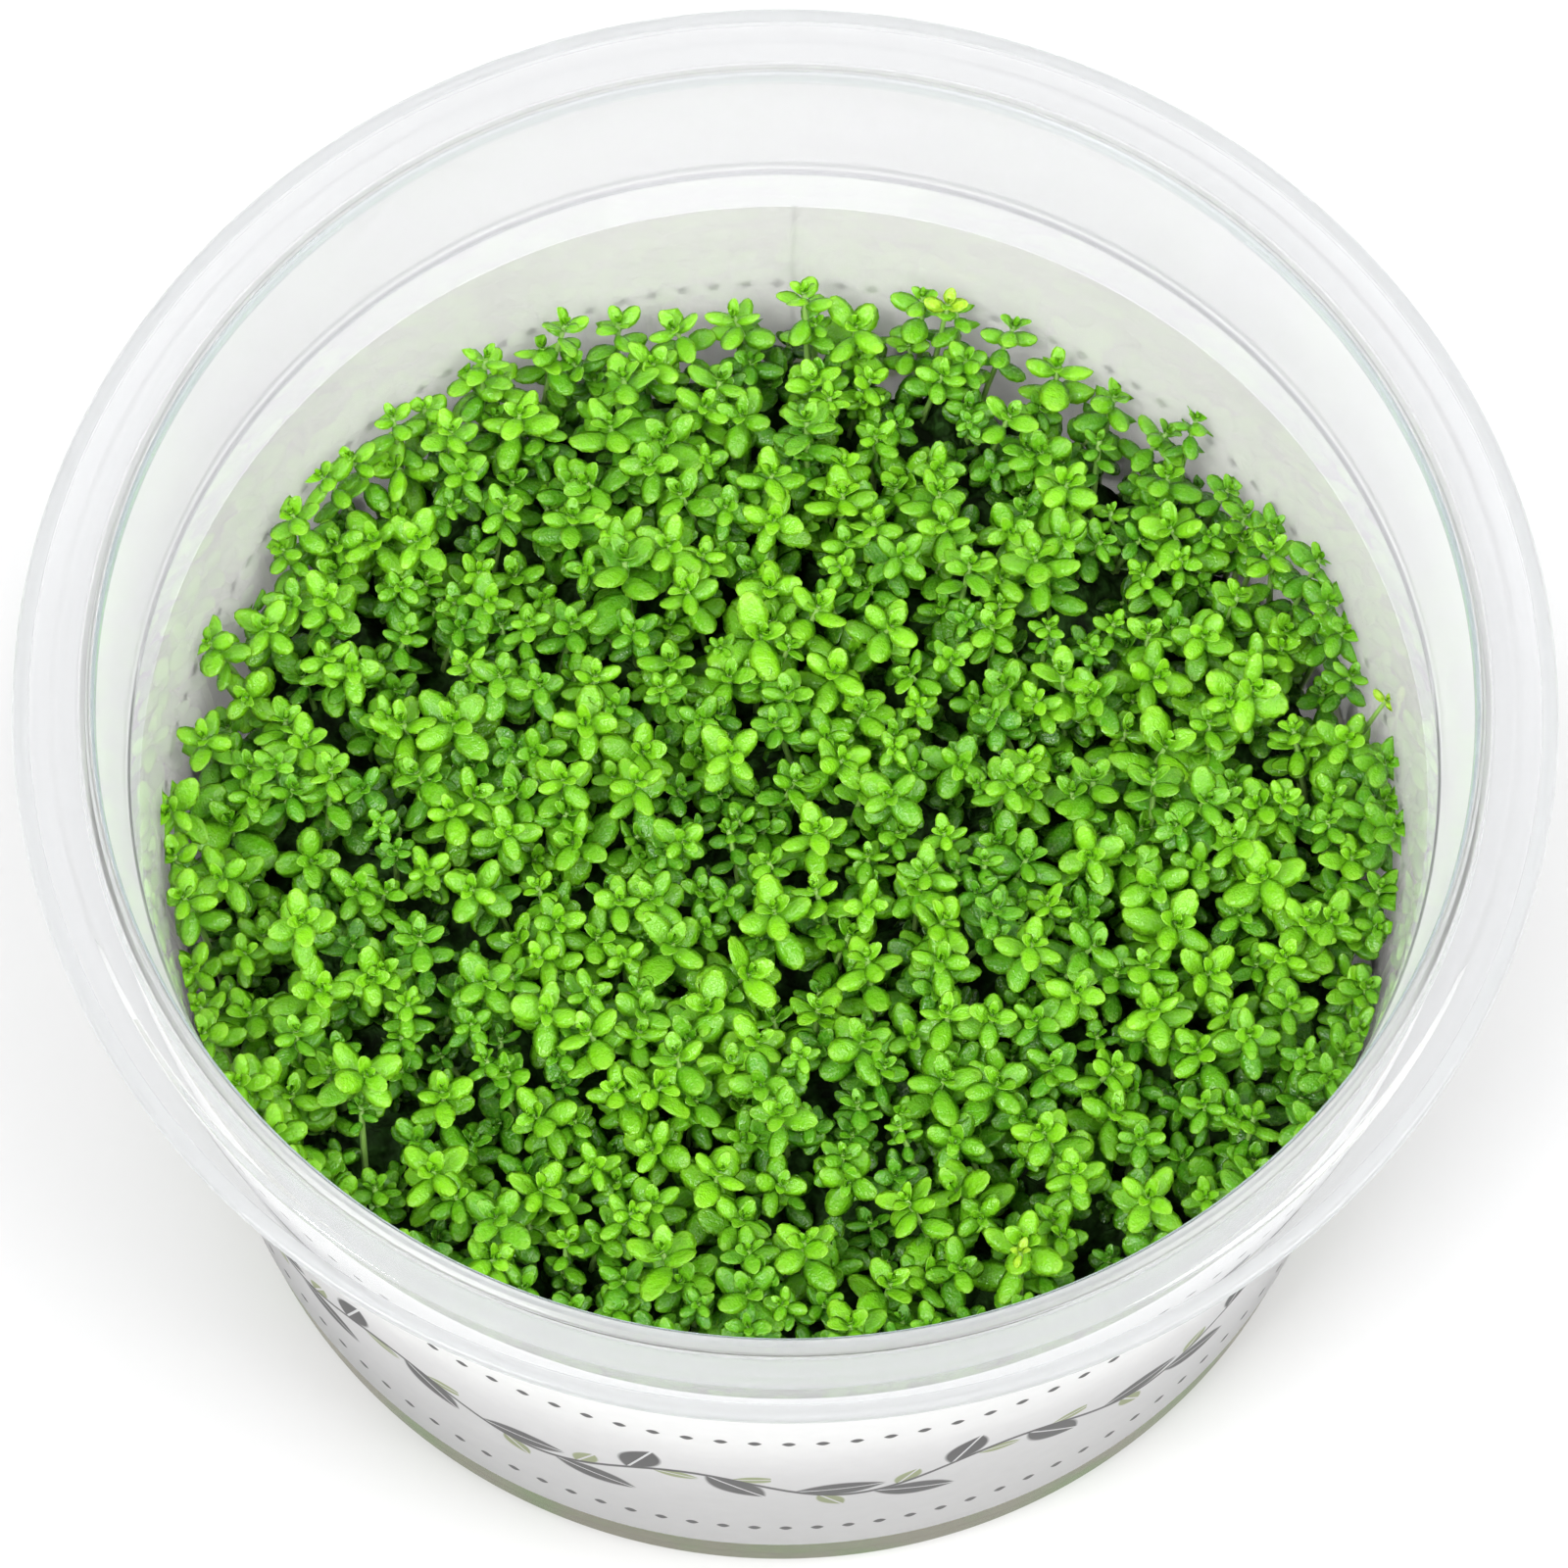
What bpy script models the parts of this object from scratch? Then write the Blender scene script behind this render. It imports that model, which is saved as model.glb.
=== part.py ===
"""Dwarf baby tears grown in a clear culture cup, standing on its foot.

Units are metres, +Z is up, and the origin is the centre of the cup's base.
"""

import math
import random

import bmesh
import bpy
from mathutils import Vector

MM = 0.001

# Driving dimensions of the cup
FLANGE_R = 47.5 * MM
FLANGE_TOP_Z = 57.6 * MM
BASE_R = 37.85 * MM
LEDGE_Z = 47.3 * MM
LEDGE_INNER_R = 40.9 * MM
WALL = 0.8 * MM
FOOT_INNER_R = 34.0 * MM
RECESS = 0.9 * MM
CORNER_R = 1.2 * MM
CORNER_STEPS = 3

# The rim above the ledge: radii and heights below the flange's top
RIM_INNER_LOW_R = 41.1 * MM
LIP_INNER_R = 42.4 * MM
BEAD_R = 42.85 * MM
BEAD_RISE = 0.3 * MM
GROOVE_R = 43.4 * MM
STEP_R = 45.0 * MM
FLANGE_STEP = 0.2 * MM
SKIRT = 1.2 * MM
EDGE_ROUND = 0.3 * MM

# The label, a sleeve round the tapered wall
LABEL_LOW_Z = 5.8 * MM
LABEL_HIGH_Z = 42.5 * MM
LABEL_THICK = 0.3 * MM

# Touching pieces keep this much between them
GAP = 0.3 * MM

# The gel and the cushion of plants on it
GEL_TOP_Z = 12.0 * MM
CUSHION_MEAN_Z = 34.4 * MM
CUSHION_CROWN = 0.8 * MM
TUFTS = 150
TUFT_R = 4.4 * MM
TUFT_DEPTH = 4.2 * MM
TUFT_SCATTER = 1.5 * MM
TUFT_EDGE_INSET = 1.6 * MM
CUSHION_CELLS = 44
WALL_CLEARANCE = 0.4 * MM
SEED = 7

ROUND_STEPS = 64
SMOOTH_UNDER = math.radians(35)
GOLDEN_ANGLE = math.pi * (3 - math.sqrt(5))


def outer_radius(z):
    """Radius of the tapered wall's outer side at height z."""
    top = LEDGE_INNER_R + WALL
    return BASE_R + (top - BASE_R) * z / LEDGE_Z


def inner_radius(z):
    """Radius of the tapered wall's inner side at height z."""
    return outer_radius(z) - WALL


def material(name, colour, roughness, transmission=0.0):
    made = bpy.data.materials.new(name)
    made.use_nodes = True
    shader = made.node_tree.nodes["Principled BSDF"]
    shader.inputs["Base Color"].default_value = (*colour, 1.0)
    shader.inputs["Roughness"].default_value = roughness
    shader.inputs["Metallic"].default_value = 0.0
    shader.inputs["Transmission Weight"].default_value = transmission
    return made


def finished(name, shape, finish):
    """The object that a bmesh becomes, smooth where it is round."""
    bmesh.ops.recalc_face_normals(shape, faces=shape.faces)
    mesh = bpy.data.meshes.new(name)
    shape.to_mesh(mesh)
    shape.free()
    mesh.materials.append(finish)
    mesh.shade_smooth()
    mesh.set_sharp_from_angle(angle=SMOOTH_UNDER)
    made = bpy.data.objects.new(name, mesh)
    bpy.context.scene.collection.objects.link(made)
    return made


def turned(name, profile, finish):
    """A ring or a bowl: an outline of (radius, height) points turned once round the Z axis."""
    shape = bmesh.new()
    points = [shape.verts.new((r, 0, z)) for r, z in profile]
    on_axis = profile[0][0] == 0
    edges = [shape.edges.new(pair) for pair in zip(points, points[1:])]
    if not on_axis:
        edges.append(shape.edges.new((points[-1], points[0])))
    bmesh.ops.spin(
        shape,
        geom=points + edges,
        cent=(0, 0, 0),
        axis=(0, 0, 1),
        angle=2 * math.pi,
        steps=ROUND_STEPS,
        use_merge=True,
    )
    bmesh.ops.remove_doubles(shape, verts=shape.verts, dist=0.001 * MM)
    return finished(name, shape, finish)


def corner(centre_r, centre_z, radius):
    """The rounded turn from the foot's flat up into the wall."""
    turns = [-math.pi / 2 + math.pi / 2 * k / CORNER_STEPS for k in range(CORNER_STEPS + 1)]
    return [(centre_r + radius * math.cos(a), centre_z + radius * math.sin(a)) for a in turns]


def make_cup():
    """One thin moulding: base with a foot ring, tapered wall, fine ledge, rim, bead and flange."""
    flange_low = FLANGE_TOP_Z - FLANGE_STEP
    under = flange_low - WALL
    rim_out_low = RIM_INNER_LOW_R + WALL
    rim_out_high = LIP_INNER_R + WALL
    outside = [
        (0, RECESS),
        (FOOT_INNER_R - RECESS, RECESS),
        (FOOT_INNER_R, 0),
        *corner(outer_radius(CORNER_R) - CORNER_R, CORNER_R, CORNER_R),
        (outer_radius(LEDGE_Z - WALL), LEDGE_Z - WALL),
        (rim_out_low, LEDGE_Z - WALL / 2),
        (rim_out_high, under - EDGE_ROUND),
        (rim_out_high + EDGE_ROUND, under),
        (FLANGE_R - WALL, under),
        (FLANGE_R - WALL + EDGE_ROUND / 2, FLANGE_TOP_Z - SKIRT),
        (FLANGE_R - EDGE_ROUND / 2, FLANGE_TOP_Z - SKIRT),
        (FLANGE_R, FLANGE_TOP_Z - SKIRT + EDGE_ROUND / 2),
    ]
    inside = [
        (FLANGE_R, flange_low - EDGE_ROUND),
        (FLANGE_R - EDGE_ROUND, flange_low),
        (STEP_R + FLANGE_STEP / 2, flange_low),
        (STEP_R - FLANGE_STEP / 2, FLANGE_TOP_Z - FLANGE_STEP / 2),
        (GROOVE_R, FLANGE_TOP_Z - FLANGE_STEP / 2),
        (BEAD_R + BEAD_RISE, FLANGE_TOP_Z + BEAD_RISE / 2),
        (BEAD_R, FLANGE_TOP_Z + BEAD_RISE),
        (LIP_INNER_R + BEAD_RISE / 4, FLANGE_TOP_Z + BEAD_RISE / 2),
        (LIP_INNER_R, FLANGE_TOP_Z - BEAD_RISE),
        (RIM_INNER_LOW_R, LEDGE_Z + EDGE_ROUND),
        (LEDGE_INNER_R, LEDGE_Z),
        (inner_radius(RECESS + WALL + CORNER_R), RECESS + WALL + CORNER_R),
        (inner_radius(RECESS + WALL) - CORNER_R, RECESS + WALL),
        (0, RECESS + WALL),
    ]
    clear = material("clear_plastic", (0.93, 0.96, 0.96), 0.08, transmission=1.0)
    return turned("cup", outside + inside, clear)


def make_label():
    """A thin paper sleeve round the wall."""
    def at(z, out):
        return outer_radius(z) + GAP + out, z

    outline = [
        at(LABEL_LOW_Z, 0),
        at(LABEL_LOW_Z, LABEL_THICK),
        at(LABEL_HIGH_Z, LABEL_THICK),
        at(LABEL_HIGH_Z, 0),
    ]
    return turned("label", outline, material("label_paper", (0.87, 0.86, 0.87), 0.5))


def make_gel():
    """The set nutrient gel on the bottom of the cup."""
    low = RECESS + WALL + GAP
    outline = [
        (0, low),
        (inner_radius(low) - CORNER_R - GAP, low),
        (inner_radius(low + CORNER_R) - GAP, low + CORNER_R),
        (inner_radius(GEL_TOP_Z) - GAP, GEL_TOP_Z),
        (0, GEL_TOP_Z),
    ]
    finish = material("nutrient_gel", (0.62, 0.64, 0.50), 0.2, transmission=0.6)
    return turned("nutrient_gel", outline, finish)


def tufts():
    """The growing tips that stand side by side, as (x, y, tip height), on a sunflower spiral."""
    draw = random.Random(SEED)
    reach = inner_radius(CUSHION_MEAN_Z) - TUFT_EDGE_INSET
    made = []
    for k in range(TUFTS):
        out = reach * math.sqrt((k + 0.5) / TUFTS)
        turn = k * GOLDEN_ANGLE + draw.uniform(-0.12, 0.12)
        tip = CUSHION_MEAN_Z + CUSHION_CROWN * (1 - (out / reach) ** 2)
        tip += draw.uniform(-TUFT_SCATTER, TUFT_SCATTER)
        made.append((out * math.cos(turn), out * math.sin(turn), tip))
    return made


def cushion_height(x, y, tips):
    """Height of the cushion at a place: the highest of the rounded tufts that cover it."""
    def over(tip):
        away = ((x - tip[0]) ** 2 + (y - tip[1]) ** 2) / TUFT_R**2
        return tip[2] - TUFT_DEPTH * min(away, 1.0)

    return max(over(tip) for tip in tips)


def make_cushion():
    """The plants grown into one cushion: a flat-bottomed block whose top is lumpy with tufts."""
    shape = bmesh.new()
    bmesh.ops.create_grid(shape, x_segments=CUSHION_CELLS, y_segments=CUSHION_CELLS, size=1.0)
    bottom_z = GEL_TOP_Z + GAP
    tips = tufts()
    for point in shape.verts:
        x, y = point.co.x, point.co.y
        across = Vector((x * math.sqrt(1 - y * y / 2), y * math.sqrt(1 - x * x / 2)))
        place = across * (inner_radius(CUSHION_MEAN_Z) - WALL_CLEARANCE)
        top = cushion_height(place.x, place.y, tips)
        place = across * (inner_radius(top) - WALL_CLEARANCE)
        point.co = (place.x, place.y, top)
    rim = [edge for edge in shape.edges if edge.is_boundary]
    walls = bmesh.ops.extrude_edge_only(shape, edges=rim)["geom"]
    low = [item for item in walls if isinstance(item, bmesh.types.BMVert)]
    for point in low:
        flat = Vector((point.co.x, point.co.y, 0)).normalized()
        point.co = flat * (inner_radius(bottom_z) - WALL_CLEARANCE)
        point.co.z = bottom_z
    bmesh.ops.holes_fill(shape, edges=[e for e in shape.edges if e.is_boundary], sides=0)
    leaves = material("plant_leaves", (0.13, 0.42, 0.03), 0.45)
    return finished("plant_cushion", shape, leaves)


def main():
    for old in list(bpy.data.objects):
        bpy.data.objects.remove(old)
    made = (make_cup(), make_label(), make_gel(), make_cushion())
    print("made", ", ".join(piece.name for piece in made))


main()
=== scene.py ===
# %% [markdown]
# # Dwarf baby tears in a clear culture cup
#
# The real thing is a small clear cup with a wide flange, a printed sleeve round its wall, a layer of
# set gel on its bottom, and a low green cushion of plants that root in the gel.
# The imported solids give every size. This script dresses them: the cup, sleeve and gel are turned
# again with fine profiles, and the plants are grown one by one in place of their plain solid.

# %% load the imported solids
import math
import random

import bmesh
import bpy
from mathutils import Matrix, Vector, noise as smooth
from mathutils.bvhtree import BVHTree


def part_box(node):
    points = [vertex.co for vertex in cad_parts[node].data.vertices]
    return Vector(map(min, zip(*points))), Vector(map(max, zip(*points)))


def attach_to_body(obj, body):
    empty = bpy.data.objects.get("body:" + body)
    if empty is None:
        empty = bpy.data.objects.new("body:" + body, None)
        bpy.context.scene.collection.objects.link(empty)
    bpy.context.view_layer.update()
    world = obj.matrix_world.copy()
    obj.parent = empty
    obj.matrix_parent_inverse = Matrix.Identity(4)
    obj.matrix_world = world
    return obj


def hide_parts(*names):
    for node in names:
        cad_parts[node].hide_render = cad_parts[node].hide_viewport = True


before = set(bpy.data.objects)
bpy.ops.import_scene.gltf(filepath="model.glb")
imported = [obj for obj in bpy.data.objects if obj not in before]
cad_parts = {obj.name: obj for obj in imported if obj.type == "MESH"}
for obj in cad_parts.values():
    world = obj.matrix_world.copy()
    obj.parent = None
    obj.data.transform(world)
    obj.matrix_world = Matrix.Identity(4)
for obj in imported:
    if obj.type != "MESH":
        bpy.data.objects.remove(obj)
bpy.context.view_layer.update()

MM = 0.001
CUP_LOW, CUP_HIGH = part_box("cup")
LABEL_LOW, LABEL_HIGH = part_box("label")
GEL_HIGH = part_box("nutrient_gel")[1]
CUSHION_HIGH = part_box("plant_cushion")[1]
print("cup", [round(v / MM, 1) for v in CUP_HIGH - CUP_LOW], "mm")

# %% [markdown]
# ## The camera
#
# The photograph looks down into the cup from the front. Its two ellipses, the flange and the foot,
# fix where the lens stood: about half a metre away and 68 degrees above the table. A long lens keeps
# the flange as round as it is in the photograph.

# %% the camera that sees what the photograph sees
LENS_PLACE = Vector((0, -194.50 * MM, 491.13 * MM))
LENS_TILT = math.radians(23.43)
LENS_ROLL = math.radians(1.07)
LENS_MM = 177.75

scene = bpy.context.scene
lens = bpy.data.cameras.new("camera")
lens.sensor_width = 36
lens.lens = LENS_MM
lens.clip_start = 0.01
camera = bpy.data.objects.new("camera", lens)
turn = Matrix.Rotation(LENS_TILT, 4, "X") @ Matrix.Rotation(LENS_ROLL, 4, "Z")
camera.matrix_world = Matrix.Translation(LENS_PLACE) @ turn
scene.collection.objects.link(camera)
scene.camera = camera
print("camera", [round(v, 3) for v in camera.location])

# %% [markdown]
# ## Small helpers for nodes
#
# A procedural material is a chain of nodes, and so is the sky. Each node does one small thing with
# values, or with what other nodes put out. Short helpers keep the chains readable.


# %% helpers that add nodes
def new_material(name):
    made = bpy.data.materials.new(name)
    made.use_nodes = True
    return made, made.node_tree, made.node_tree.nodes["Principled BSDF"]


def plug(tree, node, inputs):
    """Give a node's inputs, by name or number, the sockets or values that belong there."""
    for key, value in inputs.items():
        if isinstance(value, bpy.types.NodeSocket):
            tree.links.new(value, node.inputs[key])
        else:
            node.inputs[key].default_value = value


def add_node(tree, kind, inputs=(), **settings):
    """A shader node of that kind, with its settings and inputs."""
    made = tree.nodes.new("ShaderNode" + kind)
    for key, value in settings.items():
        setattr(made, key, value)
    plug(tree, made, dict(inputs))
    return made


def maths(tree, operation, *values):
    """The result of one Math node."""
    return add_node(tree, "Math", dict(enumerate(values)), operation=operation).outputs[0]


print("helpers for nodes ready")

# %% [markdown]
# ## Light and floor
#
# The photograph is a studio picture on pure white. A white floor, a nearly white sky and three large
# soft lamps give the same even light: a key from the left, a fill from the right and a weak one low
# in front. The sky is a little darker at the back and near the horizon, because clear plastic only
# shows when there is something less than white for its edges to bend into view.

# %% a pale sky
scene.view_settings.view_transform = "Standard"

HORIZON, ZENITH = (0.78, 0.80, 0.82, 1), (1, 1, 1, 1)
RAMP_LOW, RAMP_HIGH = 0.05, 0.50
SKY_LEAN = -0.5
SKY_STRENGTH = 0.64

sky = bpy.data.worlds.new("studio")
sky.use_nodes = True
scene.world = sky
tree = sky.node_tree
split = add_node(tree, "SeparateXYZ", {0: add_node(tree, "TexCoord").outputs["Generated"]})
frontward = maths(tree, "MULTIPLY_ADD", split.outputs["Y"], SKY_LEAN, split.outputs["Z"])
ramp = add_node(tree, "ValToRGB", {0: frontward})
stops = ramp.color_ramp.elements
for stop, position, colour in zip(stops, (RAMP_LOW, RAMP_HIGH), (HORIZON, ZENITH)):
    stop.position = position
    stop.color = colour
plug(tree, tree.nodes["Background"], {"Color": ramp.outputs["Color"], "Strength": SKY_STRENGTH})
print("sky strength", SKY_STRENGTH)

# %% soft lamps
# The place, the side and the power of each lamp
LAMPS = {
    "key_lamp": ((-0.55, -0.45, 1.20), 0.55, 13.0),
    "fill_lamp": ((0.70, -0.22, 1.10), 0.70, 10.8),
    "front_lamp": ((0.10, -1.25, 0.42), 0.90, 3.4),
}


def soft_lamp(name, place, size, watts):
    """A square lamp that points at the middle of the cup."""
    lamp = bpy.data.lights.new(name, "AREA")
    lamp.energy = watts
    lamp.size = size
    made = bpy.data.objects.new(name, lamp)
    aim = Vector((0, 0, CUSHION_HIGH.z)) - Vector(place)
    made.matrix_world = Matrix.Translation(place) @ aim.to_track_quat("-Z", "Y").to_matrix().to_4x4()
    scene.collection.objects.link(made)


for lamp_name, (lamp_place, side, watts) in LAMPS.items():
    soft_lamp(lamp_name, lamp_place, side, watts)
print("lamps", len(LAMPS))

# %% a pale floor
FLOOR_WHITE = (0.72, 0.72, 0.72, 1)
FLOOR_HALF = 3.0
floor_shape = bmesh.new()
bmesh.ops.create_grid(floor_shape, x_segments=1, y_segments=1, size=FLOOR_HALF)
floor_mesh = bpy.data.meshes.new("floor")
floor_shape.to_mesh(floor_mesh)
floor_shape.free()
floor = bpy.data.objects.new("floor", floor_mesh)
scene.collection.objects.link(floor)
white, tree, shader = new_material("floor_white")
plug(tree, shader, {"Base Color": FLOOR_WHITE, "Roughness": 0.9})
floor_mesh.materials.append(white)
print("floor", 2 * FLOOR_HALF, "m wide")

# %% [markdown]
# ## Colours and masks
#
# A finish is mostly colours that are blended by masks. A mask is a value from 0 to 1 that says where
# something is, from a height, a radius or a noise that is cut to a range. The patterns read Object
# coordinates, so they stay in place on the piece from every side.


# %% helpers that blend and mask
def times(tree, first, second):
    return maths(tree, "MULTIPLY", first, second)


def blend(tree, share, first, second):
    """A colour between two, by a share from 0 to 1."""
    mix = add_node(tree, "Mix", {"Factor": share}, data_type="RGBA")
    for socket, value in (("A", first), ("B", second)):
        target = [s for s in mix.inputs if s.name == socket and s.type == "RGBA"][0]
        if isinstance(value, bpy.types.NodeSocket):
            tree.links.new(value, target)
        else:
            target.default_value = (*value, 1.0)
    return [s for s in mix.outputs if s.type == "RGBA"][0]


def object_place(tree):
    return add_node(tree, "TexCoord").outputs["Object"]


def noise(tree, place, scale, detail=2.0):
    """Smooth noise from 0 to 1, with that many lumps to the metre."""
    inputs = {"Vector": place, "Scale": scale, "Detail": detail}
    return add_node(tree, "TexNoise", inputs).outputs["Fac"]


def ranged(tree, value, low, high, to_low=0.0, to_high=1.0):
    """A value carried over from one range to another, held at the ends."""
    inputs = {"Value": value, "From Min": low, "From Max": high, "To Min": to_low, "To Max": to_high}
    return add_node(tree, "MapRange", inputs).outputs["Result"]


def near(tree, value, middle, full, none, strength=1.0):
    """A soft mask of the places where a value is near a middle one."""
    away = maths(tree, "ABSOLUTE", maths(tree, "SUBTRACT", value, middle))
    return ranged(tree, away, full, none, strength, 0.0)


def length_of(tree, first, second):
    """The length that two lengths at right angles make."""
    squares = [maths(tree, "POWER", side, 2.0) for side in (first, second)]
    return maths(tree, "SQRT", maths(tree, "ADD", *squares))


print("helpers for masks ready")

# %% [markdown]
# ## Effects that several finishes share
#
# Duller rings in plastic, green patches in gel and clumps of old stems are one effect at different
# scales: noise, cut to a mask. Fine relief is another: a height turned into a bumpy normal. Each is a
# node group that is built once, and every finish places it with its own values.

# %% node groups for patches and for relief
VECTORS = ("Place", "Normal")


def new_group(name, inputs, output):
    """A node group with named inputs and one output, and the sockets at its inner ends."""
    group = bpy.data.node_groups.new(name, "ShaderNodeTree")
    for socket in (*inputs, output):
        kind = "NodeSocketVector" if socket in VECTORS else "NodeSocketFloat"
        group.interface.new_socket(socket, in_out="OUTPUT" if socket == output else "INPUT", socket_type=kind)
    return group, group.nodes.new("NodeGroupInput").outputs, group.nodes.new("NodeGroupOutput").inputs


patch_inputs = ("Place", "Scale", "Detail", "Low", "High", "Strength")
patch_mask, took, gave = new_group("patch_mask", patch_inputs, "Mask")
lumps = noise(patch_mask, took["Place"], took["Scale"], took["Detail"])
cut = ranged(patch_mask, lumps, took["Low"], took["High"], 0.0, took["Strength"])
patch_mask.links.new(cut, gave["Mask"])

relief_inputs = ("Height", "Strength", "Distance")
relief, took, gave = new_group("relief", relief_inputs, "Normal")
bumps = add_node(relief, "Bump", {name: took[name] for name in relief_inputs})
relief.links.new(bumps.outputs[0], gave["Normal"])


def patchy(tree, place, scale, detail, low, high, strength=1.0):
    """The patch mask, with a material's own values."""
    values = dict(zip(patch_inputs, (place, scale, detail, low, high, strength)))
    return add_node(tree, "Group", values, node_tree=patch_mask).outputs["Mask"]


def raise_skin(tree, shader, height, strength, distance):
    """Fine relief on a shader's skin, from a height."""
    values = dict(zip(relief_inputs, (height, strength, distance)))
    plug(tree, shader, {"Normal": add_node(tree, "Group", values, node_tree=relief).outputs[0]})


print("groups", patch_mask.name, relief.name)

# %% [markdown]
# ## The cup's clear plastic
#
# The cup is moulded in clear plastic under a millimetre thick. Light goes through it, bends at its
# edges, and loses a little on the way. So the material is plain transmission with a base colour
# under white, and the tones of its zones are painted light and shade: the flange is painted greyer
# than the rim and darker still at the back, the ledge is a painted fine grey line of shade, the bead
# of the mouth is a little blue-green, partly the plastic's tint and partly painted shade, and the wet
# foot takes the colour of the gel with painted shade. The radius and height of a place say what it
# belongs to.

# %% clear plastic: its tones, and where they begin
LEDGE_Z = 47.3 * MM
FOOT_TINT_Z = 6.2 * MM
FLANGE_FROM_R = 43.3 * MM
SKIRT_FROM_R = 46.4 * MM
BEAD_MIDDLE_R = 42.46 * MM
BEAD_FROM_Z = 56.6 * MM
BACK_FROM_Y, BACK_TO_Y = 12 * MM, 40 * MM
RINGS_SCALE = 900.0
# Scale, detail, low and high value of the green patches in gel and on wet plastic
GREEN_PATCHES = (120.0, 3.0, 0.45, 0.62)
# The turning rings are real. The grey of the flange, its skirt and the wall is painted shade, and the rim's
# lighter tone is painted light, on what is one clear plastic.
DULL_RING, CLEAR_RING = (0.805, 0.810, 0.820), (0.860, 0.865, 0.875)
# Painted shade: the flange is toned darker towards the back, where the floor beyond shows brighter through
# it.
BACK_SHADE_TONE = (0.735, 0.737, 0.745)
SKIRT_TONE = (0.775, 0.780, 0.795)
WALL_SHADE_TONE, RIM_LIGHT_TONE = (0.805, 0.800, 0.812), (0.930, 0.926, 0.938)
# Painted shade: a fine dark line along the ledge, where the step in the clear wall bends the light.
LEDGE_SHADE_TONE = (0.50, 0.51, 0.53)
# The bead's blue-green is partly the plastic's own tint through its thickness and partly painted shade for
# the light it bends.
BEAD_TINT_AND_SHADE = (0.40, 0.50, 0.51)
BEAD_AT_BACK = 0.35
# The foot's olive and green are the gel's colours seen through the wall, with painted shade.
FOOT_GEL_SHADE_OLIVE, FOOT_GEL_SHADE_GREEN = (0.30, 0.30, 0.22), (0.25, 0.34, 0.12)
clear_plastic, tree, shader = new_material("clear_plastic")
plug(tree, shader, {"Transmission Weight": 0.92, "IOR": 1.45})
place = object_place(tree)
side_x, side_y, height = add_node(tree, "SeparateXYZ", {0: place}).outputs
radius = length_of(tree, side_x, side_y)
print("material", clear_plastic.name)

# %% masks of the cup's parts
on_flange = ranged(tree, radius, FLANGE_FROM_R, FLANGE_FROM_R + 0.2 * MM)
on_skirt = ranged(tree, radius, SKIRT_FROM_R, SKIRT_FROM_R + 0.1 * MM)
above_ledge = ranged(tree, height, LEDGE_Z - 0.3 * MM, LEDGE_Z + 0.3 * MM)
at_ledge = near(tree, height, LEDGE_Z, 0.15 * MM, 0.30 * MM)
at_back = ranged(tree, side_y, BACK_FROM_Y, BACK_TO_Y)
low_down = ranged(tree, height, FOOT_TINT_Z, FOOT_TINT_Z + 1.0 * MM, 1.0, 0.0)
by_lip = near(tree, radius, BEAD_MIDDLE_R, 0.10 * MM, 0.20 * MM)
high_up = ranged(tree, height, BEAD_FROM_Z, BEAD_FROM_Z + 0.4 * MM)
# Painted shade: the bead's tint is fainter at the back, where light comes through it from behind.
fainter_at_back = ranged(tree, at_back, 0.0, 1.0, 1.0, BEAD_AT_BACK)
at_bead = times(tree, times(tree, by_lip, high_up), fainter_at_back)
round_place = add_node(tree, "CombineXYZ", {0: radius, 1: height}).outputs[0]
rings = patchy(tree, round_place, RINGS_SCALE, 2.0, 0.35, 0.65)
weeping = patchy(tree, place, *GREEN_PATCHES)
print("masks of the cup ready")

# %% lay the tones over each other
flange_tone = blend(tree, rings, DULL_RING, CLEAR_RING)
flange_tone = blend(tree, at_back, flange_tone, BACK_SHADE_TONE)
flange_tone = blend(tree, on_skirt, flange_tone, SKIRT_TONE)
wall_tone = blend(tree, above_ledge, WALL_SHADE_TONE, RIM_LIGHT_TONE)
body = blend(tree, on_flange, wall_tone, flange_tone)
body = blend(tree, at_ledge, body, LEDGE_SHADE_TONE)
body = blend(tree, low_down, body, blend(tree, weeping, FOOT_GEL_SHADE_OLIVE, FOOT_GEL_SHADE_GREEN))
plug(tree, shader, {"Base Color": blend(tree, at_bead, body, BEAD_TINT_AND_SHADE)})
print("nodes so far", len(tree.nodes))

# %% [markdown]
# The scuffed rim and the flange's rough edge scatter a share of the light that goes through, which a
# Translucent shader does. A share of a Diffuse shader in the gel's olive darkens the foot: painted shade
# with the gel's colour.
# Rays from the lamps pass straight through with a slight tint, so that what stands inside is lit as
# it is behind real thin plastic.


# %% helpers that mix shaders
def mixed(tree, share, first, second):
    """Two shaders mixed, with that share of the second."""
    inputs = {0: share, 1: first.outputs[0], 2: second.outputs[0]}
    return add_node(tree, "MixShader", inputs)


def show(tree, last):
    plug(tree, tree.nodes["Material Output"], {"Surface": last.outputs[0]})


print("helpers for shaders ready")

# %% haze, painted shade at the foot, and the light of the lamps
RIM_ROUGH = 0.16
WALL_HAZE, RIM_HAZE, EDGE_HAZE = 0.02, 0.38, 0.50
RIM_GLOW, EDGE_GLOW = (0.915, 0.902, 0.92), (0.915, 0.92, 0.925)
CLEARER_BEAD = 0.3
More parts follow.
